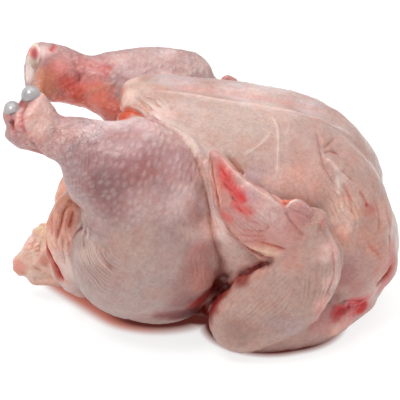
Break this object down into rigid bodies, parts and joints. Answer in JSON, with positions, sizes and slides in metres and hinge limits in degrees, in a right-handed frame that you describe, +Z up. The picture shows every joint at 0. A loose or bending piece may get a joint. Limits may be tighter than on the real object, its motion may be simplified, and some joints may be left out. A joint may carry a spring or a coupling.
{
  "type": "whole raw chicken",
  "caption": "Whole raw plucked chicken lying on its back, breast up, wings folded and legs forward, with an open body cavity at the vent.",
  "frame": {"origin": "on the flat patch of back that the bird rests on, under the middle of the body", "axes": "+X towards the neck end, -Y towards the bird's left side, +Z up through the breast"},
  "size_m": [0.2149, 0.1607, 0.1417],
  "materials": {
    "skin": "moist raw skin, pale pink",
    "cartilage": "wet cartilage, blue-white",
    "bone": "sawn bone with pink marrow"
  },
  "bodies": {
    "root": {"carcass": "skin", "left_shank_cartilage": "cartilage", "right_shank_bone": "bone"}
  },
  "joints": []
}
